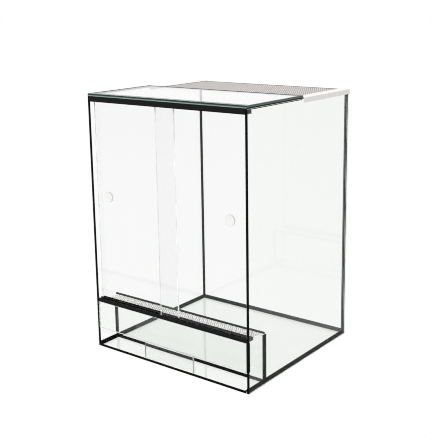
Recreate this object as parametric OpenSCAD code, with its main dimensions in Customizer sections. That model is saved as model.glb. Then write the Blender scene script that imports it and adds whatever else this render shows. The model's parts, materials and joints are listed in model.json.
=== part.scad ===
// Front-ventilated glass terrarium with two sliding doors.
// X runs left to right, Y front to back and Z up. The origin is the centre of the underside,
// and every module below measures Y from the front face until at_front() moves it into place.

/* [Tank] */
// Outside width of the tank, left to right
tank_w = 450; // [380:5:900]
// Outside depth of the tank, front to back
tank_d = 415; // [330:5:600]
// Height of the side and back panes
side_h = 610; // [480:5:900]

/* [Panes] */
// Thickness of the fixed panes
pane_t = 5; // [4:0.5:8]
// Thickness of the top pane
top_t = 6; // [4:0.5:10]
// Reach of the top pane, back from the front face
top_d = 211; // [150:1:260]
// Height of the skirt pane's and the substrate pane's top edges above the table
sill_h = 114.5; // [90:0.5:160]
// Height of the air slot's upper edge above the table
slot_h = 47.5; // [30:0.5:70]
// Distance of the substrate pane behind the front face
duct_d = 60.5; // [45:0.5:120]
// Width of the support plate in the middle of the air slot
support_w = 145; // [60:1:200]

/* [Doors] */
// Thickness of each door
door_t = 5; // [4:0.5:6]
// Overlap of the two closed doors
door_overlap = 46; // [30:1:90]
// Gap between a closed door and the side pane
door_gap = 1; // [0.5:0.25:3]
// Depth of the door's top edge inside the upper runner
door_bite = 4; // [3:0.25:5]
// Gap on each side of a door in its groove
door_play = 0.5; // [0.3:0.1:1]
// Gap under a door in its groove
door_lift = 0.3; // [0.2:0.1:0.6]

/* [Runners] */
// Thickness of the front and rear fins of both runners
fin_t = 2.4; // [1.6:0.2:4]
// Thickness of the fin between the two grooves
mid_fin_t = 4; // [2:0.2:6]
// Height of the lower runner
lower_runner_h = 7; // [6:0.5:10]
// Thickness of the lower runner's floor
runner_floor_t = 2; // [1.5:0.25:3]
// Height of the upper runner
upper_runner_h = 12; // [11:0.5:18]
// Thickness of the upper runner's roof
runner_roof_t = 2.5; // [1.5:0.25:3]
// Gap between a runner's end and the side pane
runner_end_gap = 0.5; // [0.3:0.1:1]

/* [Finger grips] */
// Diameter of a finger grip
grip_d = 25; // [20:1:32]
// Thickness of a finger grip
grip_t = 3.8; // [3:0.1:4]
// Distance of a grip's centre from its door's outer edge
grip_inset = 39; // [30:1:80]
// Height of the left grip's centre above the table
left_grip_h = 376; // [200:1:440]
// Height of the right grip's centre above the table
right_grip_h = 376; // [200:1:440]
// Depth of the dish in a grip
dish_depth = 1.6; // [0.5:0.1:2.2]
// Width of the rim round the dish
grip_rim = 2.2; // [1.5:0.1:4]
// Chamfer round a grip's front edge
grip_edge = 0.6; // [0.2:0.1:1]
// Diameter of the adhesive pad behind a grip
pad_d = 20; // [15:1:20]
// Thickness of the adhesive pad
pad_t = 0.4; // [0.2:0.1:0.5]

/* [Vents] */
// Thickness of the perforated front strip
strip_t = 1.2; // [0.8:0.1:2]
// Distance of the strip's edges from the outer faces of the panes under it
strip_inset = 1.5; // [1:0.5:3]
// Thickness of the perforated top sheet
mesh_t = 1; // [0.8:0.1:2]
// Diameter of a perforation
hole_d = 7; // [4:0.5:9]
// Distance between perforations
hole_pitch = 14; // [12:0.5:24]
// Width of the plain margin round the perforations
sheet_margin = 6; // [4:0.5:15]
// Width of a vent rail's top flange
rail_w = 25; // [15:1:40]
// Height of a vent rail's side flange
rail_h = 12; // [8:0.5:25]
// Thickness of a vent rail
rail_t = 1.2; // [0.8:0.1:2]
// Gap between a vent rail and the side pane
rail_gap = 0.3; // [0.2:0.1:0.6]

/* [Sealant] */
// Thickness of the sealant between two panes
joint_t = 1; // [0.5:0.25:2]
// Thickness of the sealant bed under a sheet or a runner
bed_t = 0.5; // [0.3:0.1:1]
// Width of the beads along the base pane
bead_leg = 7.5; // [5:0.5:12]
// Width of the upright bead in the rear left corner
left_corner_leg = 4.5; // [3:0.5:10]
// Width of the upright bead in the rear right corner
right_corner_leg = 7; // [3:0.5:10]
// Width of the small beads along the front panes and the top pane
small_leg = 3; // [2:0.5:5]
// Share of its width by which a bead's face is drawn in
bead_sag = 0.12; // [0:0.02:0.2]
// Distance of the sealant behind a pane's cut edge
bead_inset = 0.5; // [0.2:0.1:1]
// Width of the seam between the top pane and the perforated sheet
seam_w = 1.2; // [0.8:0.1:3]
// Height of the ridge that stands over the strip's rear edge
ridge_h = 4; // [2:0.5:6]
// Share of its height at which the ridge has its shoulders
ridge_shoulder = 0.7; // [0.5:0.05:0.9]

/* [Hidden] */
round_steps = 96;
hole_steps = 24;
cove_steps = 6;

// Inner faces of the side panes and of the back pane
in_x = tank_w / 2 - pane_t;
in_y = tank_d - pane_t;
// Half width of a pane that is bonded between the side panes
bonded_x = in_x - joint_t;

// Levels of the sill, from the skirt pane's top edge up to the doors
strip_z = sill_h + bed_t;
strip_top_z = strip_z + strip_t;
runner_z = strip_top_z + bed_t;
door_z = runner_z + runner_floor_t + door_lift;

// Levels of the top, from the side panes' top edge up
top_z = side_h + joint_t;
upper_runner_z = top_z - bed_t - upper_runner_h;
door_top_z = upper_runner_z + door_bite;
mesh_z = side_h + bed_t;
rail_top_z = mesh_z + mesh_t + rail_t;

// Runner section: fin, groove, fin, groove, fin
groove_w = door_t + 2 * door_play;
runner_d = 2 * fin_t + mid_fin_t + 2 * groove_w;
rear_groove_y = fin_t + groove_w + mid_fin_t;
front_door_y = fin_t + door_play;
rear_door_y = rear_groove_y + door_play;
door_w = in_x - door_gap + door_overlap / 2;

// Perforated sheets
strip_front_y = strip_inset;
strip_back_y = duct_d + pane_t - strip_inset;
mesh_front_y = top_d + seam_w;
rail_x = tank_w / 2 + rail_gap;

glass_colour = [0.80, 0.90, 0.87, 0.45];
sealant_colour = [0.10, 0.10, 0.11];
plastic_colour = [0.15, 0.15, 0.16];
sheet_colour = [0.80, 0.78, 0.76];
rail_colour = [0.90, 0.89, 0.88];
grip_colour = [0.90, 0.91, 0.86, 0.80];
pad_colour = [0.93, 0.93, 0.90];

module at_front() { translate([0, -tank_d / 2, 0]) children(); }
module on_right() { mirror([1, 0, 0]) children(); }

// A block between two opposite corners
module block(low, high) { translate(low) cube(high - low); }

// Extrusions of a section along X, along Y and along Z; the section's own axes
// are (Y, Z), (X, Z) and (X, Y)
module along_x(from, to) { translate([from, 0, 0]) rotate([90, 0, 90]) linear_extrude(to - from) children(); }
module along_y(from, to) { translate([0, to, 0]) rotate([90, 0, 0]) linear_extrude(to - from) children(); }
module along_z(from, to) { translate([0, 0, from]) linear_extrude(to - from) children(); }

// A rectangle in a section, between two opposite corners
module patch(low, high) { translate(low) square(high - low); }

// The drawn-in face of a tooled bead in a right-angled corner, from one leg's end to the other's
function cove(leg) = [
    for (i = [0:cove_steps])
        let (t = i / cove_steps, dip = 4 * bead_sag * leg * t * (1 - t) / sqrt(2))
        [leg * (1 - t) - dip, leg * t - dip]
];
function swap(points) = [for (p = points) [p[1], p[0]]];

// Sealant where a pane's edge meets a face: the joint behind the corner and the bead in it
function edge_joint(leg, depth) = concat([[0, -depth], [joint_t, -depth], [joint_t, 0]], cove(leg));

// Sealant where a pane stands on a face: the joint under its edge and a bead on each side
function tee_joint(leg) = concat(
    [for (p = cove(leg)) [-p[0], p[1]]],
    [[0, joint_t], [pane_t, joint_t]],
    [for (p = swap(cove(leg))) [pane_t + p[0], p[1]]]
);

// An outline in a section, from a corner point out along the two given directions
module seal(at, way, points) { polygon([for (p = points) [at[0] + way[0] * p[0], at[1] + way[1] * p[1]]]); }

// ---- Fixed panes

module base_pane() {
    color(glass_colour) at_front() block([-bonded_x, 0, 0], [bonded_x, in_y - joint_t, pane_t]);
}

module side_pane() { block([-tank_w / 2, 0, 0], [-in_x, in_y - joint_t, side_h]); }
module left_side_pane() { color(glass_colour) at_front() side_pane(); }
module right_side_pane() { color(glass_colour) at_front() on_right() side_pane(); }

module back_pane() {
    color(glass_colour) at_front() block([-tank_w / 2, in_y, 0], [tank_w / 2, tank_d, side_h]);
}

module substrate_pane() {
    color(glass_colour) at_front()
        block([-bonded_x, duct_d, pane_t + joint_t], [bonded_x, duct_d + pane_t, sill_h]);
}

module front_skirt_pane() {
    color(glass_colour) at_front() block([-bonded_x, 0, slot_h], [bonded_x, pane_t, sill_h]);
}

module slot_support_plate() {
    color(glass_colour) at_front()
        block([-support_w / 2, 0, pane_t + joint_t], [support_w / 2, pane_t, slot_h - joint_t]);
}

module top_pane() {
    color(glass_colour) at_front() block([-tank_w / 2, 0, top_z], [tank_w / 2, top_d, top_z + top_t]);
}

// ---- Door runners

// The fins' places from front to back, as [start, thickness]
function fins() = [
    [0, fin_t],
    [fin_t + groove_w, mid_fin_t],
    [runner_d - fin_t, fin_t]
];

// Section of a runner with its web between two levels and its fins between two others
module runner_section(web_low, web_high, fin_low, fin_high) {
    patch([0, web_low], [runner_d, web_high]);
    for (fin = fins()) patch([fin[0], fin_low], [fin[0] + fin[1], fin_high]);
}

module lower_runner() {
    color(plastic_colour) at_front() along_x(-in_x + runner_end_gap, in_x - runner_end_gap)
        runner_section(runner_z, runner_z + runner_floor_t, runner_z, runner_z + lower_runner_h);
}

module upper_runner() {
    roof_z = upper_runner_z + upper_runner_h;
    color(plastic_colour) at_front() along_x(-in_x + runner_end_gap, in_x - runner_end_gap)
        runner_section(roof_z - runner_roof_t, roof_z, upper_runner_z, roof_z);
}

// ---- Doors and finger grips

// A door in its closed place against the left side pane, with its front face at front_y
module door(front_y) {
    left = -in_x + door_gap;
    block([left, front_y, door_z], [left + door_w, front_y + door_t, door_top_z]);
}

// The left door runs in the rear groove and the right door in the front one
module left_door() { color(glass_colour) at_front() door(rear_door_y); }
module right_door() { color(glass_colour) at_front() on_right() door(front_door_y); }

// Puts a disc built along +Z on a door's front face, at the grip's place on the left door
module on_door(front_y, height) {
    translate([-in_x + door_gap + grip_inset, front_y, height]) rotate([90, 0, 0]) children();
}

module grip() {
    r = grip_d / 2;
    dish_r = r - grip_rim;
    ball_r = (dish_r * dish_r + dish_depth * dish_depth) / (2 * dish_depth);
    difference() {
        rotate_extrude($fn = round_steps)
            polygon([[0, 0], [r, 0], [r, grip_t - grip_edge], [r - grip_edge, grip_t], [0, grip_t]]);
        translate([0, 0, grip_t - dish_depth + ball_r]) sphere(ball_r, $fn = round_steps);
    }
}

module pad() { cylinder(pad_t, d = pad_d, $fn = round_steps); }

module left_finger_grip() {
    color(grip_colour) at_front() on_door(rear_door_y - pad_t, left_grip_h) grip();
}

module right_finger_grip() {
    color(grip_colour) at_front() on_right() on_door(front_door_y - pad_t, right_grip_h) grip();
}

module left_grip_pad() { color(pad_colour) at_front() on_door(rear_door_y, left_grip_h) pad(); }
module right_grip_pad() { color(pad_colour) at_front() on_right() on_door(front_door_y, right_grip_h) pad(); }

// ---- Perforated sheets and rails

// Centres of a row of holes that fills a length evenly about its middle
function row(length) =
    let (count = floor((length - 2 * sheet_margin - hole_d) / hole_pitch) + 1)
    [for (i = [0:count - 1]) (i - (count - 1) / 2) * hole_pitch];

// A sheet with plain margins that keeps its holes inside the open span
module perforated(low, high, open_low, open_high) {
    middle = (open_low + open_high) / 2;
    span = open_high - open_low;
    translate([0, 0, low[2]]) linear_extrude(high[2] - low[2]) difference() {
        patch([low[0], low[1]], [high[0], high[1]]);
        for (x = row(span[0]), y = row(span[1]))
            translate([middle[0] + x, middle[1] + y]) circle(d = hole_d, $fn = hole_steps);
    }
}

module front_vent_strip() {
    half_x = in_x - runner_end_gap;
    color(sheet_colour) at_front() perforated(
        [-half_x, strip_front_y, strip_z], [half_x, strip_back_y, strip_top_z],
        [-half_x, runner_d], [half_x, duct_d]);
}

module top_vent_sheet() {
    half_x = tank_w / 2 - bead_inset;
    color(sheet_colour) at_front() perforated(
        [-half_x, mesh_front_y, mesh_z], [half_x, tank_d - bead_inset, mesh_z + mesh_t],
        [rail_t + rail_w - tank_w / 2, mesh_front_y], [tank_w / 2 - rail_w - rail_t, in_y]);
}

// An angle section that covers the sheet's side margin and laps over the side pane
module vent_rail() {
    outer_x = -rail_x - rail_t;
    along_y(mesh_front_y, tank_d) {
        patch([outer_x, rail_top_z - rail_t], [outer_x + rail_w, rail_top_z]);
        patch([outer_x, rail_top_z - rail_h], [-rail_x, rail_top_z]);
    }
}

module left_vent_rail() { color(rail_colour) at_front() vent_rail(); }
module right_vent_rail() { color(rail_colour) at_front() on_right() vent_rail(); }

// ---- Sealant: each bead fills the joint behind it and stops against the beads made before it

module back_corner_bead(leg = left_corner_leg) {
    along_z(bead_inset, side_h) patch([bead_inset - tank_w / 2, in_y - joint_t], [-in_x, in_y]);
    along_z(pane_t, side_h) seal([-in_x, in_y], [1, -1], swap(edge_joint(leg, joint_t)));
}

module base_side_bead(corner_leg = left_corner_leg) {
    difference() {
        along_y(bead_inset, in_y)
            seal([-in_x, pane_t], [1, 1], edge_joint(bead_leg, pane_t - bead_inset));
        block([-in_x, duct_d, pane_t], [0, duct_d + pane_t, sill_h]);
        back_corner_bead(corner_leg);
    }
}

module base_back_bead() {
    color(sealant_colour) at_front() difference() {
        along_x(-in_x, in_x)
            seal([in_y, pane_t], [-1, 1], edge_joint(bead_leg, pane_t - bead_inset));
        back_corner_bead();
        on_right() back_corner_bead(right_corner_leg);
        base_side_bead();
        on_right() base_side_bead(right_corner_leg);
    }
}

module back_left_bead() { color(sealant_colour) at_front() back_corner_bead(); }
module back_right_bead() { color(sealant_colour) at_front() on_right() back_corner_bead(right_corner_leg); }
module base_left_bead() { color(sealant_colour) at_front() base_side_bead(); }
module base_right_bead() { color(sealant_colour) at_front() on_right() base_side_bead(right_corner_leg); }

module substrate_foot() {
    difference() {
        along_x(-bonded_x, bonded_x) seal([duct_d, pane_t], [1, 1], tee_joint(small_leg + joint_t));
        base_side_bead();
        on_right() base_side_bead();
    }
}

module substrate_side() {
    difference() {
        along_z(pane_t, sill_h)
            seal([-in_x, duct_d], [1, 1], swap(tee_joint(small_leg + joint_t)));
        base_side_bead();
        substrate_foot();
    }
}

module substrate_foot_bead() { color(sealant_colour) at_front() substrate_foot(); }
module substrate_left_bead() { color(sealant_colour) at_front() substrate_side(); }
module substrate_right_bead() { color(sealant_colour) at_front() on_right() substrate_side(); }

// A ridge on the substrate pane's top edge that grips the strip's rear edge
module substrate_head_bead() {
    pane_back_y = duct_d + pane_t;
    color(sealant_colour) at_front() along_x(-bonded_x, bonded_x) polygon([
        [duct_d, sill_h],
        [pane_back_y + bead_inset, sill_h],
        [pane_back_y + 2 * bead_inset, strip_top_z],
        [pane_back_y, strip_top_z + ridge_shoulder * ridge_h],
        [strip_back_y - bead_inset, strip_top_z + ridge_h],
        [duct_d + 2 * bead_inset, strip_top_z + ridge_shoulder * ridge_h],
        [duct_d, strip_top_z],
        [strip_back_y, strip_top_z],
        [strip_back_y, strip_z],
        [duct_d, strip_z]
    ]);
}

module skirt_side_bead() {
    along_z(slot_h, sill_h)
        seal([-in_x, pane_t], [1, 1], edge_joint(small_leg + joint_t, pane_t - bead_inset));
}

module skirt_left_bead() { color(pad_colour) at_front() skirt_side_bead(); }
module skirt_right_bead() { color(sealant_colour) at_front() on_right() skirt_side_bead(); }

// Under and over the strip's front edge, between the skirt pane and the lower runner
module sill_bead() {
    color(sealant_colour) at_front() along_x(-bonded_x, bonded_x) {
        patch([bead_inset, sill_h], [pane_t, strip_z]);
        patch([bead_inset, sill_h], [strip_front_y, runner_z]);
        patch([bead_inset, strip_top_z], [runner_d - fin_t, runner_z]);
    }
}

module support_foot_bead() {
    color(pad_colour) at_front() along_x(-support_w / 2, support_w / 2)
        seal([pane_t, pane_t], [1, 1], swap(edge_joint(small_leg + joint_t, pane_t - bead_inset)));
}

module support_head_bead() {
    color(pad_colour) at_front() along_x(-support_w / 2, support_w / 2)
        patch([bead_inset, slot_h - joint_t], [pane_t - bead_inset, slot_h]);
}

module upper_runner_bed() {
    color(sealant_colour) at_front()
        block([-bonded_x, bead_inset, top_z - bed_t], [bonded_x, runner_d - bead_inset, top_z]);
}

module top_side_bead() {
    along_y(bead_inset, top_d) patch([bead_inset - tank_w / 2, side_h], [-in_x, top_z]);
    along_y(runner_d + bead_inset, top_d)
        seal([-in_x, top_z], [1, -1], swap(edge_joint(small_leg + joint_t, joint_t)));
}

module top_left_bead() { color(sealant_colour) at_front() top_side_bead(); }
module top_right_bead() { color(sealant_colour) at_front() on_right() top_side_bead(); }

// A bed on the top edges of the side panes and the back pane
module vent_sheet_bed() {
    outer_x = tank_w / 2 - bead_inset;
    low_y = mesh_front_y;
    back_y = in_y + bead_inset;
    color(sealant_colour) at_front() difference() {
        block([-outer_x, low_y, side_h], [outer_x, tank_d - bead_inset, mesh_z]);
        block([-in_x - bead_inset, low_y - 1, side_h - 1], [in_x + bead_inset, back_y, mesh_z + 1]);
    }
}

// Between the top pane's rear edge and the sheet's front edge
module vent_seam_bead() {
    outer_x = tank_w / 2 - bead_inset;
    color(sealant_colour) at_front()
        block([-outer_x, top_d, side_h], [outer_x, mesh_front_y, top_z + top_t / 3]);
}

base_pane();
left_side_pane();
right_side_pane();
back_pane();
substrate_pane();
front_skirt_pane();
slot_support_plate();
top_pane();
lower_runner();
upper_runner();
left_door();
right_door();
left_finger_grip();
right_finger_grip();
left_grip_pad();
right_grip_pad();
front_vent_strip();
top_vent_sheet();
left_vent_rail();
right_vent_rail();
base_left_bead();
base_right_bead();
base_back_bead();
back_left_bead();
back_right_bead();
substrate_foot_bead();
substrate_left_bead();
substrate_right_bead();
substrate_head_bead();
skirt_left_bead();
skirt_right_bead();
sill_bead();
support_foot_bead();
support_head_bead();
upper_runner_bed();
top_left_bead();
top_right_bead();
vent_sheet_bed();
vent_seam_bead();
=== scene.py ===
# %% [markdown]
# # A glass terrarium with sliding doors
#
# The object is a tall tank of float glass, sealed with black silicone. Two glass doors slide in
# black plastic runners, air comes in under them through a perforated strip, and it leaves through
# a perforated sheet in the rear half of the roof. The CAD model gives every size and place. This
# notebook puts a detailed piece in the place of each CAD node, then lights and photographs it.

# %% Load the CAD model
import json
import math

import bpy
import numpy as np
from mathutils import Matrix, Vector


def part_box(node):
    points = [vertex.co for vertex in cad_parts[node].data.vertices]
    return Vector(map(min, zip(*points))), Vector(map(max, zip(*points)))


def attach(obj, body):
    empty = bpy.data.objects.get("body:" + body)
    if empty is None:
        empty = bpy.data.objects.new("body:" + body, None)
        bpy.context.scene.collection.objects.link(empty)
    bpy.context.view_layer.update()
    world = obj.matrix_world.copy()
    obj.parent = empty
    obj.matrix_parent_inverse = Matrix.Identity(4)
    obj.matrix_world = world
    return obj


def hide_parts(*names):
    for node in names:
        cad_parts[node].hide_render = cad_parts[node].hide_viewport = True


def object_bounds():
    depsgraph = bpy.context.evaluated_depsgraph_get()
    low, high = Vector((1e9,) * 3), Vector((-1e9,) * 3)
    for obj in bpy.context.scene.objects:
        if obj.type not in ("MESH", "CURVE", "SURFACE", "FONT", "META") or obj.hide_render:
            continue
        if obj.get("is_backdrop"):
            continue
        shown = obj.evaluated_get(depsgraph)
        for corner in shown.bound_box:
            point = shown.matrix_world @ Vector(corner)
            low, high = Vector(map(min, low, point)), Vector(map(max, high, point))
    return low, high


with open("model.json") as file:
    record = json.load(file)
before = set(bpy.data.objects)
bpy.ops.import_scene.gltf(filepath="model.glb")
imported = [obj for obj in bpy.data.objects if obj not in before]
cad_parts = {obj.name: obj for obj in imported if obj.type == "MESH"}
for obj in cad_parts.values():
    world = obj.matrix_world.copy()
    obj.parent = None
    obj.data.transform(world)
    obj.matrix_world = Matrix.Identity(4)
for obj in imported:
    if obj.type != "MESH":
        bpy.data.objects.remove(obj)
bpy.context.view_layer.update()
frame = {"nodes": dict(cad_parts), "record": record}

MM = 0.001

# %% [markdown]
# ## Small helpers
#
# Every piece below is a set of points worked out with numpy, in millimetres, and a list of index
# arrays that say which points each face joins. A mesh made this way needs no operators, so it comes
# out the same on every run. The sign of the volume tells whether the faces point outwards.

# %% Mesh helpers
def corners(node):
    """The lowest and highest corner of a CAD node, in millimetres."""
    low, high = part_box(node)
    return np.array(low) / MM, np.array(high) / MM


def volume(points, faces):
    """Signed volume: each face is fanned into triangles, and each adds a sixth of a box product."""
    total = 0.0
    for f in faces:
        a = points[f[:, 0]]
        for k in range(1, f.shape[1] - 1):
            b, c = points[f[:, k]], points[f[:, k + 1]]
            total += np.einsum("ij,ij->i", a, np.cross(b, c)).sum() / 6
    return total


def piece(name, points, faces, nodes, slot, finishes, picks=None, smooth=None, **values):
    """A closed mesh that stands for CAD nodes and rides on their body.

    points is (n, 3) in millimetres and faces a list of (m, k) index arrays. picks gives each face's
    finish by number, smooth is a list of True or False for each face array, and values are float
    attributes of the points."""
    if volume(points, faces) < 0:
        faces = [f[:, ::-1] for f in faces]
    smooth = smooth or [False] * len(faces)
    joined = np.concatenate([f.ravel() for f in faces])
    sides = np.concatenate([np.full(len(f), f.shape[1]) for f in faces])
    starts = np.concatenate([[0], np.cumsum(sides)[:-1]])
    shading = np.concatenate([np.full(len(f), s) for f, s in zip(faces, smooth)])
    mesh = bpy.data.meshes.new(name)
    mesh.vertices.add(len(points))
    mesh.vertices.foreach_set("co", (points * MM).astype(np.float32).ravel())
    mesh.loops.add(len(joined))
    mesh.loops.foreach_set("vertex_index", joined.astype(np.int32))
    mesh.polygons.add(len(sides))
    mesh.polygons.foreach_set("loop_start", starts.astype(np.int32))
    for finish in finishes:
        mesh.materials.append(finish)
    if picks is not None:
        mesh.polygons.foreach_set("material_index", np.asarray(picks, np.int32))
    mesh.polygons.foreach_set("use_smooth", shading)
    for key, value in values.items():
        layer = mesh.attributes.new(key, "FLOAT", "POINT")
        layer.data.foreach_set("value", np.asarray(value, np.float32))
    mesh.update(calc_edges=True)
    mesh.validate()
    obj = bpy.data.objects.new(name, mesh)
    bpy.context.scene.collection.objects.link(obj)
    bodies = frame["record"]["behaviour"]["bodies"]
    body = next(b for b, held in bodies.items() if nodes[0] in held)
    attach(obj, body)
    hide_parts(*nodes)
    return obj


print("piece() turns points and faces into an object that rides on a body")

# %% [markdown]
# Most pieces are one outline carried along an axis. These three functions round the outline's
# corners, carry it to each place and join the rings it leaves there.

# %% Outline helpers
def loft(rings):
    """Faces between equal rings, (m, k, 3): quads between each pair and a cap at each end."""
    m, k = rings.shape[:2]
    i, j = np.meshgrid(np.arange(m - 1), np.arange(k), indexing="ij")
    a, b = i * k + j, i * k + (j + 1) % k
    quads = np.stack([a, b, b + k, a + k], axis=-1).reshape(-1, 4)
    caps = np.stack([np.arange(k)[::-1], np.arange(k) + (m - 1) * k])
    return rings.reshape(-1, 3), [quads, caps]


def section(axis, places, outline):
    """Carries an outline along an axis to each place.

    outline is (k, 2), or (m, k, 2) with one for each place, in the order of the two other axes."""
    outline = np.broadcast_to(outline, (len(places),) + outline.shape[-2:])
    rings = np.zeros(outline.shape[:2] + (3,))
    others = [a for a in range(3) if a != axis]
    rings[..., axis] = np.asarray(places)[:, None]
    rings[..., others[0]], rings[..., others[1]] = outline[..., 0], outline[..., 1]
    return rings


def rounded(outline, radius, steps=4):
    """Cuts each corner of an outline with an arc.

    The arc is the quadratic curve from a point on one side to a point on the other with the corner
    as its handle, (1-t)^2 a + 2t(1-t) corner + t^2 b, which is close to a circle at 90 degrees."""
    outline = np.asarray(outline, float)
    radius = np.broadcast_to(radius, len(outline))[:, None]
    before, after = np.roll(outline, 1, 0) - outline, np.roll(outline, -1, 0) - outline
    a = outline + before / np.linalg.norm(before, axis=1, keepdims=True) * radius
    b = outline + after / np.linalg.norm(after, axis=1, keepdims=True) * radius
    t = np.linspace(0, 1, steps + 1)[None, :, None]
    arcs = (1 - t) ** 2 * a[:, None] + 2 * t * (1 - t) * outline[:, None] + t**2 * b[:, None]
    return arcs.reshape(-1, 2)


print("outlines can be rounded, carried along an axis and joined")

# %% [markdown]
# ## Finishes
#
# A colour is written as the sRGB hex value that a paint program shows. Blender's shaders work in
# linear light, so one function converts it. The others add nodes: one adds any node with its
# settings and links, and the rest are the few steps that most finishes share.

# %% Colour and node helpers
def linear(code):
    """sRGB hex to linear RGBA: c/12.92 below 0.04045, else ((c + 0.055)/1.055)^2.4."""
    c = np.array([int(code[i : i + 2], 16) for i in (1, 3, 5)]) / 255
    return (*np.where(c < 0.04045, c / 12.92, ((c + 0.055) / 1.055) ** 2.4).tolist(), 1.0)


def add(tree, kind, links=None, **settings):
    """Adds a node. links maps an input's name or number to a value or to another node's output."""
    node = tree.nodes.new(kind)
    for name, value in settings.items():
        setattr(node, name, value)
    for name, value in (links or {}).items():
        if isinstance(value, bpy.types.NodeSocket):
            tree.links.new(value, node.inputs[name])
        else:
            node.inputs[name].default_value = value
    return node


def finish(name):
    """An empty node material and its tree."""
    material = bpy.data.materials.new(name)
    material.use_nodes = True
    material.node_tree.nodes.clear()
    return material, material.node_tree


def noise(tree, scale, detail, stretch=None):
    """Noise with about scale lumps to the metre, fixed to the object. stretch scales each axis."""
    place = add(tree, "ShaderNodeTexCoord").outputs["Object"]
    if stretch:
        mapped = add(tree, "ShaderNodeMapping", {"Vector": place, "Scale": stretch})
        place = mapped.outputs["Vector"]
    lumps = add(tree, "ShaderNodeTexNoise", {"Vector": place, "Scale": scale, "Detail": detail})
    return lumps.outputs["Fac"]


def bump(tree, height, strength, distance):
    """The normal of a surface raised by height * distance metres, taken at a share of strength."""
    raised = add(tree, "ShaderNodeBump", {
        "Height": height, "Strength": strength, "Distance": distance})
    return raised.outputs["Normal"]


def remap(tree, value, low, high, start=0.0, end=1.0):
    """low + (value - start) / (end - start) * (high - low), held between low and high."""
    mapped = add(tree, "ShaderNodeMapRange", {
        "Value": value, "From Min": start, "From Max": end, "To Min": low, "To Max": high})
    return mapped.outputs[0]


def blend(tree, share, first, second, way="MIX"):
    """Mixes two colours: (1 - share) * first + share * second, or their product for MULTIPLY."""
    FACTOR, FIRST, SECOND, RESULT = 0, 6, 7, 2  # places of the colour sockets on the node
    mixed = add(tree, "ShaderNodeMix", {FACTOR: share, FIRST: first, SECOND: second},
                data_type="RGBA", blend_type=way)
    return mixed.outputs[RESULT]


def principled(tree, inputs):
    """Links one Principled shader with these inputs to the material's output."""
    shader = add(tree, "ShaderNodeBsdfPrincipled", inputs)
    add(tree, "ShaderNodeOutputMaterial", {"Surface": shader.outputs[0]})


print("mid grey #808080 is", round(linear("#808080")[0], 3), "in linear light")

# %% [markdown]
# ### Clear float glass
#
# Float glass is flat to the eye and takes almost nothing from the light. Its IOR is 1.52, but at
# that value the panes mirror the sill and the grips, which the photograph doesn't show, so the
# material uses 1.3. A lamp's ray that meets glass would stop there in a path tracer, so for shadow
# rays the material turns into a faintly tinted clear film, and everything inside the tank is lit
# as through a window.

# %% Float glass
def float_glass(name, tint, film):
    """Clear glass: tint colours what is seen through it, and film colours the light it lets in."""
    glass, tree = finish(name)
    # Rolled-in waves of the float bath, about 120 mm apart and far too shallow to blur anything
    wave = bump(tree, noise(tree, scale=8.0, detail=1.0), strength=0.02, distance=0.001)
    clear = add(tree, "ShaderNodeBsdfPrincipled", {
        "Base Color": linear(tint), "Roughness": 0.0, "IOR": 1.3, "Transmission Weight": 1.0,
        "Specular IOR Level": 0.5, "Normal": wave})
    lit = add(tree, "ShaderNodeBsdfTransparent", {"Color": linear(film)})
    path = add(tree, "ShaderNodeLightPath")
    mix = add(tree, "ShaderNodeMixShader", {
        0: path.outputs["Is Shadow Ray"], 1: clear.outputs[0], 2: lit.outputs[0]})
    add(tree, "ShaderNodeOutputMaterial", {"Surface": mix.outputs[0]})
    return glass


# Float glass of the upright panes and the roof, of the base, which looks greener, and of the doors
pane_glass = float_glass("float_glass_panes", "#fafbfa", "#f6f8f7")
base_glass = float_glass("float_glass_base", "#f3f5f2", "#f6f8f7")
door_glass = float_glass("float_glass_doors", "#fbfbfb", "#f8faf9")
print("glass:", pane_glass.name, base_glass.name, door_glass.name)

# %% [markdown]
# ### Cut edges of the glass
#
# Iron in float glass shows where light has a long way to go, so a cut edge looks green while the
# faces look clear. The arris, the narrow ground bevel along each edge, is darker. Each pane carries
# a value named "across" that runs from 0 on one face to 1 on the other, and a colour ramp turns it
# into bands. Its colours are read from 0 to 1: on the top pane's edge from its underside up.

# %% Edge finishes
def cut_edge(name, bands, roughness, specular=0.5):
    """A ground edge. bands lists (place across the edge, colour), from place 0 to place 1."""
    edge, tree = finish(name)
    across = add(tree, "ShaderNodeAttribute", attribute_name="across")
    ramp = add(tree, "ShaderNodeValToRGB", {"Fac": across.outputs["Fac"]})
    stops = ramp.color_ramp.elements
    stops[0].color, stops[1].color = linear(bands[0][1]), linear(bands[-1][1])
    for place, colour in bands[1:-1]:
        stops.new(place).color = linear(colour)
    # Scratches of a 120 mesh grinding belt, about 0.1 mm, drawn 1 mm apart so that they show
    grit = bump(tree, noise(tree, scale=900.0, detail=2.0), strength=0.15, distance=0.0002)
    # Long soft patches where the edge passes more or less light
    patch = noise(tree, scale=22.0, detail=2.0)
    shade = remap(tree, patch, low=0.86, high=1.1, start=0.3, end=0.7)
    tone = blend(tree, 1.0, ramp.outputs["Color"], shade, "MULTIPLY")
    principled(tree, {"Base Color": tone, "Roughness": roughness, "IOR": 1.52,
                      "Specular IOR Level": specular, "Normal": grit})
    return edge


# Ground edges of the top pane: its front edge, whose light lower band is a painted highlight of the
# light from above, and its right edge, which is darker near the foot
top_front_edge = cut_edge("ground_edge_green_painted_highlight", [
    (0, "#8ca29b"), (0.22, "#8ca29b"), (0.42, "#4d645c"), (0.65, "#22362f"), (1, "#172822")],
    roughness=0.3, specular=0.15)
top_side_edge = cut_edge("ground_edge_deep_green", [
    (0, "#080d0b"), (0.28, "#0f1814"), (0.42, "#597068"), (0.7, "#43584f"), (1, "#354a42")],
    roughness=0.3, specular=0.15)
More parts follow.
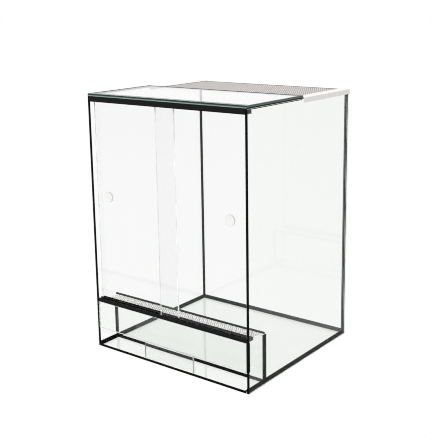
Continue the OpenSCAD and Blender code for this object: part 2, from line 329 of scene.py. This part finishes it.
# Polished edges: pale green on the fixed panes, clearer on the doors, back pane and small plate
pale_edge = cut_edge("polished_edge_pale", [
    (0, "#c3ccc8"), (0.25, "#e9efec"), (0.75, "#eef4f1"), (1, "#c3ccc8")], roughness=0.15)
clear_edge = cut_edge("polished_edge_clear", [
    (0, "#e9edeb"), (0.2, "#f6f8f7"), (0.8, "#f8faf9"), (1, "#e9edeb")], roughness=0.15)
# Ground edges of the small support plate, one ground edge painted in two tones as light and shade:
# darker as shade on its left end, lighter as lit on its right end
green_edge = cut_edge("ground_edge_painted_shaded_end", [
    (0, "#5b6f67"), (0.3, "#8fa39b"), (0.7, "#93a79f"), (1, "#5b6f67")], roughness=0.25)
painted_lit_edge = cut_edge("ground_edge_painted_lit_end", [
    (0, "#a5b6af"), (0.3, "#c6d3ce"), (0.7, "#cad6d1"), (1, "#a5b6af")], roughness=0.25)
# An edge with black sealant wiped over it
black_edge = cut_edge("sealed_edge_black", [
    (0, "#050505"), (0.5, "#080808"), (1, "#050505")], roughness=0.5, specular=0.06)
print("edges:", top_front_edge.name, pale_edge.name, clear_edge.name, black_edge.name)

# %% [markdown]
# ### Silicone sealant
#
# The beads are black silicone, smoothed with a wet finger. It stays slightly glossy, with long
# ripples and a dull skin here and there. One noise gives the bump, the roughness and the tone.

# %% Sealant
def silicone():
    """Black silicone whose roughness and tone follow the ripples of its surface."""
    sealant, tree = finish("black_silicone")
    ripple = noise(tree, scale=90.0, detail=3.0)
    principled(tree, {
        "Base Color": blend(tree, ripple, linear("#050505"), linear("#0c0c0c")),
        "Roughness": remap(tree, ripple, low=0.28, high=0.46, start=0.35, end=0.65),
        "IOR": 1.41, "Specular IOR Level": 0.12,
        "Normal": bump(tree, ripple, strength=0.25, distance=0.0006)})
    return sealant


black_silicone = silicone()
print("sealant:", black_silicone.name)

# %% [markdown]
# ### Extruded black plastic, coated sheet, clear plastic
#
# The runners are extruded PVC: fine die lines run along them, so the noise is stretched 40 times
# along X. The perforated sheets and the angle rails are coated metal with a fine orange peel. The
# finger grips are moulded clear plastic, their rim wall painted grey as shade, stuck on clear
# adhesive pads.

# %% Plastic and sheet metal
def die_lined_plastic():
    """Black PVC with die lines: noise with 25 lumps to the metre along X and 1000 across it."""
    plastic, tree = finish("extruded_pvc_black")
    lines = noise(tree, scale=1.0, detail=2.0, stretch=(25.0, 1000.0, 1000.0))
    principled(tree, {
        "Base Color": blend(tree, lines, linear("#0e0e0f"), linear("#171718")),
        "Roughness": remap(tree, lines, low=0.45, high=0.6),
        "IOR": 1.53, "Specular IOR Level": 0.08,
        "Normal": bump(tree, lines, strength=0.2, distance=0.0002)})
    return plastic


def coated_metal(name, colour, shade, roughness):
    """Coated metal: a fine peel in its surface, and broad patches between colour and shade."""
    metal, tree = finish(name)
    peel = bump(tree, noise(tree, scale=600.0, detail=2.0), strength=0.12, distance=0.0003)
    broad = noise(tree, scale=14.0, detail=2.0)
    tone = blend(tree, broad, linear(colour), linear(shade))
    principled(tree, {"Base Color": tone, "Roughness": roughness, "Normal": peel})
    return metal


def clear_plastic(name, colour, cover, roughness):
    """Clear plastic too thin to bend light. cover is the share of light that its surface stops, and
    the faces that point away from the viewer stop none."""
    plastic, tree = finish(name)
    flow = bump(tree, noise(tree, scale=120.0, detail=2.0), strength=0.1, distance=0.0003)
    side = add(tree, "ShaderNodeNewGeometry")
    principled(tree, {
        "Base Color": linear(colour), "Roughness": roughness, "IOR": 1.49,
        "Specular IOR Level": 0.3, "Normal": flow,
        "Alpha": remap(tree, side.outputs["Backfacing"], low=cover, high=0.0)})
    return plastic


# Extruded PVC of the runners
black_pvc = die_lined_plastic()
# Coated perforated sheet: white in the front strip; on the roof painted a warm grey as shade, since
# the roof is seen against the light
sheet_metal = coated_metal("coated_perforated_sheet", "#f4f4f3", "#ecebea", roughness=0.45)
roof_metal = coated_metal("coated_roof_sheet_painted_shade", "#dad4d1", "#cfc9c6", roughness=0.45)
# Coated angle rails: their top; their side flange, painted greyer as shade because it gets less
# light;
# and their cut lip, painted dark as the thin shadow line beside the rail's inner edge
rail_metal = coated_metal("white_coated_angle", "#fbfaf9", "#f6f4f3", roughness=0.4)
rail_side = coated_metal("coated_angle_side_painted_shade", "#e4e0df", "#dcd8d7", roughness=0.4)
shaded_lip = coated_metal("rail_lip_painted_shade", "#5a5856", "#4e4c4b", roughness=0.6)
# Punched walls of the holes, painted a darker grey as the shade that lies in them
hole_wall = coated_metal("punched_hole_walls_painted_shade", "#8f8d8b", "#858381", roughness=0.6)
# Moulded clear plastic of the finger grips, their rim wall painted grey as shade, and the clear
# adhesive
grip_plastic = clear_plastic("moulded_clear_grip", "#d6d6cf", cover=0.13, roughness=0.1)
grip_wall = clear_plastic("grip_wall_painted_shade", "#8c8c86", cover=0.4, roughness=0.4)
pad_plastic = clear_plastic("clear_adhesive_pad", "#dcdbd2", cover=0.05, roughness=0.4)
print("plastic and metal:", black_pvc.name, sheet_metal.name, rail_metal.name, grip_plastic.name)

# %% [markdown]
# ## Glass panes
#
# A pane is a flat block whose edges have an arris, ground off by hand at 45 degrees so that they
# don't cut. Six outlines make it: two smaller ones on each face, and the full one just inside each
# face. The caps are the clear faces and the bands between the outlines are the cut edge, so each
# gets its own finish. Beside a sealed black edge the sealant laps over the glass a little, which is
# what the outer band on each face is for.

# %% Pane function
ARRIS, LAP = 0.7, 2.0


def cut_rectangles(low, high, inset):
    """Outlines of a rectangle set in by each inset, with its four corners cut off by the arris."""
    (u0, v0), (u1, v1) = low, high
    c = ARRIS + inset
    u = [u0 + inset, u0 + c, u1 - c, u1 - inset, u1 - inset, u1 - c, u0 + c, u0 + inset]
    v = [v0 + c, v0 + inset, v0 + inset, v0 + c, v1 - c, v1 - inset, v1 - inset, v1 - c]
    return np.stack([np.stack(u, 1), np.stack(v, 1)], -1)


def pane(node, slot, glass, edges, overlap=LAP, **sides):
    """A box from the CAD node's corners with every edge cut back by the arris at 45 degrees.

    edges is the finish of the cut edge. sides names other finishes by place: left, right, front,
    rear, foot or head. Beside a black edge the sealant overlaps the face."""
    low, high = corners(node)
    axis = int(np.argmin(high - low))
    others = [a for a in range(3) if a != axis]
    inset = np.array([ARRIS + overlap, ARRIS, 0.0, 0.0, ARRIS, ARRIS + overlap])
    thick = high[axis] - low[axis]
    levels = np.array([0.0, 0.0, ARRIS, thick - ARRIS, thick, thick]) + low[axis]
    outlines = cut_rectangles(low[others], high[others], inset)
    points, faces = loft(section(axis, levels, outlines))
    across = (points[:, axis] - low[axis]) / thick
    # An outline has two sides for each edge of the pane, in this order
    ends = (("left", "right"), ("front", "rear"), ("foot", "head"))
    first, second = ends[others[0]], ends[others[1]]
    around = [second[0], first[1], second[1], first[0]]
    edge = [2 + list(sides).index(side) if side in sides else 1 for side in around]
    lap = [pick if sides.get(side, edges) is black_edge else 0 for pick, side in zip(edge, around)]
    edge, lap = np.repeat(edge, 2), np.repeat(lap, 2)
    picks = np.concatenate([lap, np.tile(edge, 3), lap, [0, 0]])
    name = node if node.endswith("_pane") else node + "_glass"
    return piece(name + "_arrised", points, faces, [node], slot,
                 [glass, edges] + list(sides.values()), picks, across=across)


print("pane() grinds an arris of", ARRIS, "mm")

# %% Panes and doors
TOP_LAP = 9.0  # band of sealant over the top pane's face

for node in ("left_side_pane", "right_side_pane"):
    pane(node, "glass", pane_glass, pale_edge, front=black_edge)
pane("base_pane", "glass", base_glass, pale_edge, front=black_edge)
pane("back_pane", "glass", pane_glass, pale_edge, left=clear_edge, right=clear_edge)
pane("top_pane", "glass", pane_glass, black_edge, TOP_LAP,
     front=top_front_edge, right=top_side_edge)
for node in ("substrate_pane", "front_skirt_pane"):
    pane(node, "glass", pane_glass, pale_edge)
# The plate's two ends take the painted shaded and painted lit copies of one ground edge
pane("slot_support_plate", "glass", pane_glass, clear_edge, left=green_edge, right=painted_lit_edge)
for node in ("left_door", "right_door"):
    pane(node, "door_glass", door_glass, clear_edge)
print("8 panes and 2 doors with an arris of", ARRIS, "mm")

# %% [markdown]
# ## Runners
#
# Each runner is one extrusion with two grooves. Its outline is drawn once from the CAD sizes, its
# corners are rounded by the die's 0.4 mm radius, and it is carried from end to end.

# %% Runners
FIN, GROOVE, MIDDLE_FIN = 2.4, 6.0, 4.0
LOWER_WEB, UPPER_WEB = 2.0, 2.5
DIE_RADIUS = 0.4


def comb(depth, web, height):
    """Outline of a runner in (Y, Z): a web, and three fins that stand on it up to the height."""
    a, b = FIN, FIN + GROOVE
    c, d = b + MIDDLE_FIN, depth - FIN
    return np.array([
        [0, 0], [depth, 0], [depth, height], [d, height], [d, web], [c, web],
        [c, height], [b, height], [b, web], [a, web], [a, height], [0, height]], float)


def runner(node, web, turned=False):
    """The comb outline with rounded corners, carried along X between the CAD node's ends."""
    low, high = corners(node)
    outline = rounded(comb(high[1] - low[1], web, high[2] - low[2]), DIE_RADIUS)
    if turned:
        outline = outline * [1, -1] + [0, high[2] - low[2]]
    points, faces = loft(section(0, [low[0], high[0]], outline + low[1:]))
    return piece(node + "_extrusion", points, faces, [node], "runner", [black_pvc])


runner("lower_runner", LOWER_WEB)
runner("upper_runner", UPPER_WEB, turned=True)
print("runners:", [round(v, 1) for v in corners("lower_runner")[1] - corners("lower_runner")[0]])

# %% [markdown]
# ## Perforated sheets
#
# Punched sheet has round holes in staggered rows at 60 degrees. The field of holes is laid out as
# bricks, one for each hole, with alternate rows shifted by half a brick. A ring of faces joins each
# hole to its brick's outline. Neighbours share those outlines' points, so the duplicates are merged
# and the sheet comes out as one closed skin. Half bricks without a hole end the shorter rows.

# %% Bricks
def brick_rim(sides, pitch, row):
    """A brick's outline with as many points as the hole has sides.

    It runs anticlockwise from the middle of the right side. Its points are worked out in shares of
    the brick's size, pitch by row, and then scaled to it."""
    # Places along the upper side, from right to left, in half pitches
    q = {8: [1, 0], 12: [1, 0.5, 0, -0.5]}[sides]
    top = [(0.5 * x, 0.5) for x in q] + [(-0.5, 0.5)]
    shares = [(0.5, 0.0)] + top + [(-0.5, 0.0)] + [(-x, -y) for x, y in top]
    return np.array(shares) * [pitch, row]


def whole_bricks(start, n, m, pitch, row, hole, rim):
    """Points of the holed bricks, (count, 2 * sides, 2): each hole's ring, then its brick's rim.

    A hole's centre is start + ((i + 1/2) * pitch, (j + 1/2) * row), and odd rows are shifted by
    half a pitch. A ring point is centre + hole/2 * (cos a, sin a)."""
    angle = np.arange(len(rim)) * 2 * math.pi / len(rim)
    ring = np.stack([np.cos(angle), np.sin(angle)], 1) * hole / 2
    i, j = np.meshgrid(np.arange(n), np.arange(m))
    keep = (j % 2 == 0) | (i < n - 1)
    i, j = i[keep], j[keep]
    centre = start + np.stack([(i + 0.5 + 0.5 * (j % 2)) * pitch, (j + 0.5) * row], 1)
    return np.concatenate([ring, rim])[None] + centre[:, None]


def half_bricks(start, end, m, pitch, row, rim):
    """Points of the half bricks at both ends of the odd rows, (count, k, 2), anticlockwise."""
    odd = np.arange(1, m, 2)
    half = rim[rim[:, 0] >= 0]
    half = half[np.argsort(np.arctan2(half[:, 1], half[:, 0] - pitch / 4))] - [pitch / 4, 0]
    ends = np.concatenate([np.stack([np.full(len(odd), x), (odd + 0.5) * row + start[1]], 1)
                           for x in (start[0] + pitch / 4, end[0] - pitch / 4)])
    halves = ends[:, None] + np.concatenate([half, [[-pitch / 4, 0.0]]])[None]
    order = np.argsort(np.arctan2(halves[0, :, 1] - ends[0, 1], halves[0, :, 0] - ends[0, 0]))
    return halves[:, order]


print("a brick for a hole with 8 sides:", brick_rim(8, 2, 2).tolist())

# %% [markdown]
# The sheet's upper face is made first, as bricks, half bricks and four plain margins. A copy of it
# turned over is the lower face, and walls close the holes and the sheet's outline.

# %% Perforated sheet
DIGITS = 5  # decimal places kept when points are merged, in mm
ON_LINE = 1e-3  # largest distance of a point that lies on a line, in mm
SEALED = 2  # the finish for margins under sealant


def plain_margins(plan, used, outer, low, high):
    """One face along each side, from the points on the field's border to the sheet's corners."""
    margins = []
    for side, (axis, value) in enumerate([(1, low[1]), (0, high[0]), (1, high[1]), (0, low[0])]):
        on = used[np.abs(plan[used, axis] - value) < ON_LINE]
        on = on[np.argsort(plan[on, 1 - axis])]
        on = on if side in (2, 3) else on[::-1]
        margins.append(np.concatenate([[outer[side], outer[(side + 1) % 4]], on])[None])
    return margins


def perforated(node, name, metal, pitch, hole, sides, field_low, field_high, sealed=()):
    """Rows of holes that fill a field, inside the CAD node's box.

    Rows are row = pitch * sin 60 degrees apart, and the field keeps whole numbers of both. sealed
    numbers the plain margins that sealant covers: 0 front, 1 right, 2 rear, 3 left."""
    low, high = corners(node)
    row = pitch * math.sin(math.radians(60))
    n = int((field_high[0] - field_low[0]) // pitch)
    m = int((field_high[1] - field_low[1]) // row)
    size = np.array([n * pitch, m * row])
    start = (np.array(field_low) + field_high) / 2 - size / 2
    end = start + size
    rim = brick_rim(sides, pitch, row)
    cells = whole_bricks(start, n, m, pitch, row, hole, rim)
    halves = half_bricks(start, end, m, pitch, row, rim)
    # Faces by point number, before the merge: rings round the holes, hole edges, half bricks
    k = np.arange(sides)
    after = (k + 1) % sides
    first = (np.arange(len(cells)) * 2 * sides)[:, None]
    flat = np.stack([first + k, first + k + sides, first + after + sides, first + after], -1)
    flat = flat.reshape(-1, 4)
    inner = np.stack([first + k, first + after], -1).reshape(-1, 2)
    filler = cells.size // 2 + np.arange(halves.size // 2).reshape(len(halves), -1)
    # Points that fall together become one
    (x0, y0), (x1, y1) = low[:2], high[:2]
    plan = np.concatenate([cells.reshape(-1, 2), halves.reshape(-1, 2),
                           [[x0, y0], [x1, y0], [x1, y1], [x0, y1]]])
    plan, merged = np.unique(np.round(plan, DIGITS), axis=0, return_inverse=True)
    merged = merged.ravel()
    flat, inner, filler, outer = merged[flat], merged[inner], merged[filler], merged[-4:]
    used = np.unique(np.concatenate([flat.ravel(), filler.ravel()]))
    upper = [flat, filler] + plain_margins(plan, used, outer, start, end)
    # The lower face and the walls
    count = len(plan)
    points = np.concatenate([np.column_stack([plan, np.full(count, z)]) for z in (high[2], low[2])])
    outline = np.stack([outer, np.roll(outer, -1)], -1)
    wall = np.concatenate([inner[:, ::-1], outline[:, ::-1]])
    walls = np.concatenate([wall, wall[:, ::-1] + count], 1)
    faces = upper + [f[:, ::-1] + count for f in upper] + [walls]
    plain = sum(len(f) for f in faces[:-1])
    picks = np.concatenate([np.zeros(plain), np.ones(len(inner)), np.zeros(len(outline))])
    for side in sealed:
        picks[len(flat) + len(filler) + side] = SEALED
    obj = piece(name, points, faces, [node], "perforated_sheet",
                [metal, hole_wall, black_silicone], picks)
    print(name, "holes:", len(cells), "faces:", sum(len(f) for f in faces))
    return obj


print("perforated() is ready")

# %% [markdown]
# The front strip is open from the runner's back to the pane behind it, and its holes have twelve
# sides because they lie near the camera. The roof sheet is open between the rails, and black
# sealant covers its front and rear margins.

# %% Front strip and roof sheet
PITCH, HOLE = 5.4, 3.2
STRIP_END, STRIP_LAP = 4, 1  # plain ends of the strip, and how far its holes run on under others
ROOF_SIDE, ROOF_FRONT, ROOF_REAR = 27, 5, 8  # plain margins of the roof sheet

low, high = corners("front_vent_strip")
runner_back, pane_front = corners("lower_runner")[1][1], corners("substrate_pane")[0][1]
perforated("front_vent_strip", "front_vent_strip_punched", sheet_metal, PITCH, HOLE, 12,
           (low[0] + STRIP_END, runner_back - STRIP_LAP),
           (high[0] - STRIP_END, pane_front + STRIP_LAP))
low, high = corners("top_vent_sheet")
# The roof sheet takes the finish with painted shade
perforated("top_vent_sheet", "top_vent_sheet_punched", roof_metal, PITCH, HOLE, 8,
           (low[0] + ROOF_SIDE, low[1] + ROOF_FRONT),
           (high[0] - ROOF_SIDE, high[1] - ROOF_REAR), (0, 2))

# %% [markdown]
# ## Vent rails
#
# Each rail is thin sheet bent to a right angle. The outline has an outer and an inner radius at
# the bend and slightly rounded cut edges, and it is carried along Y.

# %% Vent rails
RAIL_SHEET = 1.2
OUTER_BEND, INNER_BEND, CUT_EDGE = 1.1, 0.3, 0.25  # radii of the outline's corners
BEND_STEPS = 5
BEND_DEPTH = 1.0  # faces whose middle is lower than this belong to the side flange
AT_LIP = 0.05  # faces whose middle is nearer than this to the free edge are the cut lip


def rail(node, side):
    """An angle outline in (X, Z), carried along Y: top flange, bend and side flange.

    side is -1 for the left rail and 1 for the right one, which is its mirror image."""
    low, high = corners(node)
    width, height = high[0] - low[0], high[2] - low[2]
    outline = np.array([[0, height], [width, height], [width, height - RAIL_SHEET],
                        [RAIL_SHEET, height - RAIL_SHEET], [RAIL_SHEET, 0], [0, 0]])
    radii = [OUTER_BEND, CUT_EDGE, CUT_EDGE, INNER_BEND, CUT_EDGE, CUT_EDGE]
    outline = rounded(outline, radii, BEND_STEPS)
    if side > 0:
        outline = outline * [-1, 1] + [width, 0]
    points, faces = loft(section(1, [low[1], high[1]], outline + low[[0, 2]]))
    middle = points[faces[0]].mean(1)
    from_lip = high[0] - middle[:, 0] if side < 0 else middle[:, 0] - low[0]
    # The side flange takes the finish with painted shade, and the lip the painted shadow line
    picks = np.where(middle[:, 2] < high[2] - BEND_DEPTH, 1, 0)
    picks[(from_lip < AT_LIP) & (picks == 0)] = 2
    return piece(node + "_bent", points, faces, [node], "rail", [rail_metal, rail_side, shaded_lip],
                 np.append(picks, [0, 0]))


rail("left_vent_rail", -1)
rail("right_vent_rail", 1)
print("vent rails:", RAIL_SHEET, "mm sheet with an outer bend of", OUTER_BEND, "mm")

# %% [markdown]
# ## Finger grips
#
# A grip is a round button with a shallow dish for the fingertip. Turning one profile round its axis
# gives it, and the profile is a function of the radius: chamfered foot, rounded shoulder, flat lip
# and a dish that deepens toward the middle.

# %% Turned pieces
TURN_STEPS = 72


def turned(node, name, slot, finishes, profile, wall=0):
    """Turns a profile of (radius, height) pairs round the axis -Y through the CAD node's middle.

    A point is middle + radius * (cos a, sin a) in X and Z, and height is measured from the door.
    wall counts the profile's first steps that take the second finish."""
    low, high = corners(node)
    middle, back = (low + high) / 2, high[1]
    a = np.linspace(0, 2 * math.pi, TURN_STEPS, endpoint=False)
    r, h = profile[:, :1], profile[:, 1:]
    rings = np.stack([middle[0] + r * np.cos(a), np.broadcast_to(back - h, (len(r), len(a))),
                      middle[2] + r * np.sin(a)], -1)
    points, faces = loft(rings)
    picks = np.arange(len(faces[0]) + 2) < wall * len(a)
    return piece(name, points, faces, [node], slot, finishes, picks, [True, False])


print("turned pieces have", TURN_STEPS, "steps round")

# %% Finger grips and their pads
FOOT, SHOULDER, LIP = 0.3, 0.6, 2.0  # chamfer at the door, shoulder's radius, reach of the lip
DISH, HOLLOW = 1.6, 1.2  # depth of the dish, and the power that shapes it
SHOULDER_POINTS, DISH_POINTS, INNERMOST = 7, 14, 0.02
WALL_STEPS = 1 + SHOULDER_POINTS  # steps of the profile from the foot to the shoulder's end
PAD_EDGE = 0.1  # how far an adhesive pad bulges at mid-thickness


def radius_and_depth(node):
    """Half the CAD node's width, and its depth along Y."""
    low, high = corners(node)
    return (high[0] - low[0]) / 2, high[1] - low[1]


def grip_profile(node):
    """Profile from the door outwards and then inwards to the middle.

    In the dish, height = depth - DISH * (1 - x^2)^HOLLOW, where x is the share of the way from the
    middle to the lip."""
    r, t = radius_and_depth(node)
    turn = np.linspace(0, math.pi / 2, SHOULDER_POINTS)
    side = np.stack([r - SHOULDER + SHOULDER * np.cos(turn),
                     t - SHOULDER + SHOULDER * np.sin(turn)], 1)
    x = np.linspace(1, INNERMOST, DISH_POINTS)
    dish = np.stack([x * (r - LIP), t - DISH * (1 - x**2) ** HOLLOW], 1)
    return np.concatenate([[[r - FOOT, 0.0], [r, FOOT]], side, dish])


for side in ("left", "right"):
    node = side + "_finger_grip"
    # The grip's wall takes the finish with painted shade
    turned(node, node + "_dished", "grip", [grip_plastic, grip_wall], grip_profile(node),
           WALL_STEPS)
    node = side + "_grip_pad"
    r, t = radius_and_depth(node)
    turned(node, node + "_disc", "adhesive", [pad_plastic],
           np.array([[r - PAD_EDGE, 0], [r, t / 2], [r - PAD_EDGE, t]]))
print("finger grips:", len(grip_profile("left_finger_grip")), "rings each")

# %% [markdown]
# ## Sealant beads
#
# The CAD model already holds the beads as they meet in the corners, so those nodes stay and take
# the silicone finish. The support plate and the skirt's left end are held by clear sealant.

# %% Beads keep their CAD shape
CLEAR_BEADS = ("support", "skirt_left")

beads = [n for n, o in frame["nodes"].items() if not o.hide_render]
for name in beads:
    node = frame["nodes"][name]
    node.data.materials.clear()
    node.data.materials.append(pad_plastic if name.startswith(CLEAR_BEADS) else black_silicone)
print("beads:", sorted(beads))

# %% [markdown]
# ## Studio
#
# The photograph has a white background with hardly any shadow. The floor and the world show white
# to the camera, also through glass, and light the tank at a plain level. What the panes mirror is
# the floor in front of them, which is a soft grey there, so their reflections stay quiet.

# %% World and floor
WHITE = (1, 1, 1, 1)
SKY_LIGHT, SKY_SEEN = 0.75, 1.0  # the world's strength as a light and as a background
FLOOR_HALF, FLOOR_Z = 40.0, -0.0004  # in metres: the floor lies just clear of the tank's foot
FLOOR_WHITE, FLOOR_GLOW = 0.92, 1.035  # share of white in what is seen of the floor, its strength


def any_ray(tree, *kinds):
    """1 for a ray of one of the kinds, else 0: the largest of these outputs of the light path."""
    path = add(tree, "ShaderNodeLightPath")
    seen = path.outputs[kinds[0]]
    for kind in kinds[1:]:
        larger = add(tree, "ShaderNodeMath", {0: seen, 1: path.outputs[kind]}, operation="MAXIMUM")
        seen = larger.outputs[0]
    return seen


world = bpy.data.worlds.new("studio")
bpy.context.scene.world = world
world.use_nodes = True
tree = world.node_tree
tree.nodes.clear()
seen = any_ray(tree, "Is Camera Ray", "Is Transmission Ray", "Is Glossy Ray")
sky = add(tree, "ShaderNodeBackground", {
    "Color": WHITE, "Strength": remap(tree, seen, low=SKY_LIGHT, high=SKY_SEEN)})
add(tree, "ShaderNodeOutputWorld", {"Surface": sky.outputs[0]})

floor_finish, tree = finish("white_studio_floor")
seen = any_ray(tree, "Is Camera Ray", "Is Transmission Ray")
share = add(tree, "ShaderNodeMath", {0: seen, 1: FLOOR_WHITE}, operation="MULTIPLY")
paint = add(tree, "ShaderNodeBsdfPrincipled", {
    "Base Color": linear("#e6e6e6"), "Roughness": 0.9, "Specular IOR Level": 0.0})
white = add(tree, "ShaderNodeEmission", {"Color": WHITE, "Strength": FLOOR_GLOW})
mix = add(tree, "ShaderNodeMixShader", {
    0: share.outputs[0], 1: paint.outputs[0], 2: white.outputs[0]})
add(tree, "ShaderNodeOutputMaterial", {"Surface": mix.outputs[0]})
floor_mesh = bpy.data.meshes.new("studio_floor")
floor_mesh.from_pydata([(x * FLOOR_HALF, y * FLOOR_HALF, FLOOR_Z)
                        for x, y in ((-1, -1), (1, -1), (1, 1), (-1, 1))], [], [(0, 1, 2, 3)])
floor_mesh.materials.append(floor_finish)
floor = bpy.data.objects.new("studio_floor", floor_mesh)
bpy.context.scene.collection.objects.link(floor)
floor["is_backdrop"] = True
print("the floor is", 2 * FLOOR_HALF, "m wide")

# %% [markdown]
# Two large square lamps light the tank from both front corners. They are kept out of reflections.

# %% Lamps
SOFTBOX_SIZE, AIM = 1.6, (0, 0, 0.3)


def softbox(name, place, watts):
    """A square area lamp at a place in metres, turned to the tank."""
    lamp = bpy.data.lights.new(name, "AREA")
    lamp.shape, lamp.size, lamp.energy = "SQUARE", SOFTBOX_SIZE, watts
    obj = bpy.data.objects.new(name, lamp)
    obj.location = place
    obj.rotation_euler = (Vector(AIM) - Vector(place)).to_track_quat("-Z", "Y").to_euler()
    obj.visible_glossy = False
    bpy.context.scene.collection.objects.link(obj)


softbox("key_softbox", (1.8, -2.2, 2.4), watts=45)
softbox("fill_softbox", (-2.4, -1.2, 1.6), watts=20)
print("2 softboxes of", SOFTBOX_SIZE, "m")

# %% [markdown]
# ## Camera
#
# The photographer stood to the right of the doors, a little above the tank, with the lens turned
# about 12 degrees down. The lens's axis meets the photograph above its middle, as in a picture cut
# from a larger one, and a small lens shift does the same here. All these values were worked out
# from where the tank's corners lie in the picture.

# %% Camera
AZIMUTH, ELEVATION, ROLL = map(math.radians, (37.863, 11.846, 0.891))
DISTANCE, TARGET = 2.0008, Vector((-0.0172, 0, 0.4107))
PICTURE_PX, FOCAL_PX, MIDDLE_PX = 441, 837.1, 176.0  # height, focal length, row of the lens's axis
SENSOR = 36.0  # mm

forward = Vector((-math.sin(AZIMUTH) * math.cos(ELEVATION),
                  math.cos(AZIMUTH) * math.cos(ELEVATION), -math.sin(ELEVATION)))
level = Vector((math.cos(AZIMUTH), math.sin(AZIMUTH), 0))
plumb = forward.cross(level)
right = math.cos(ROLL) * level + math.sin(ROLL) * plumb
down = math.cos(ROLL) * plumb - math.sin(ROLL) * level
lens = bpy.data.cameras.new("photo_camera")
lens.sensor_fit, lens.sensor_width = "AUTO", SENSOR
lens.lens = FOCAL_PX / PICTURE_PX * SENSOR
lens.shift_y = (MIDDLE_PX - PICTURE_PX / 2) / PICTURE_PX
lens.clip_end = 100
camera = bpy.data.objects.new("photo_camera", lens)
turn = Matrix((right, -down, -forward)).transposed().to_4x4()
camera.matrix_world = Matrix.Translation(TARGET - forward * DISTANCE) @ turn
bpy.context.scene.collection.objects.link(camera)
bpy.context.scene.camera = camera
print("lens", round(lens.lens, 2), "mm, shift", round(lens.shift_y, 3))

# %% [markdown]
# Light passes many panes on its way, so it may bend and cross clear faces many times. The narrow
# pixel filter keeps thin lines as crisp as the photograph has them.

# %% View and light paths
scene = bpy.context.scene
scene.view_settings.view_transform = "Standard"
scene.cycles.filter_width = 1.0
scene.cycles.max_bounces = 24
scene.cycles.transmission_bounces = 24
scene.cycles.transparent_max_bounces = 32
print("bounces:", scene.cycles.max_bounces, "clear faces:", scene.cycles.transparent_max_bounces)

# %% Sizes and finish
low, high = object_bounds()
print("visual box:", [round(v, 4) for v in low], [round(v, 4) for v in high])
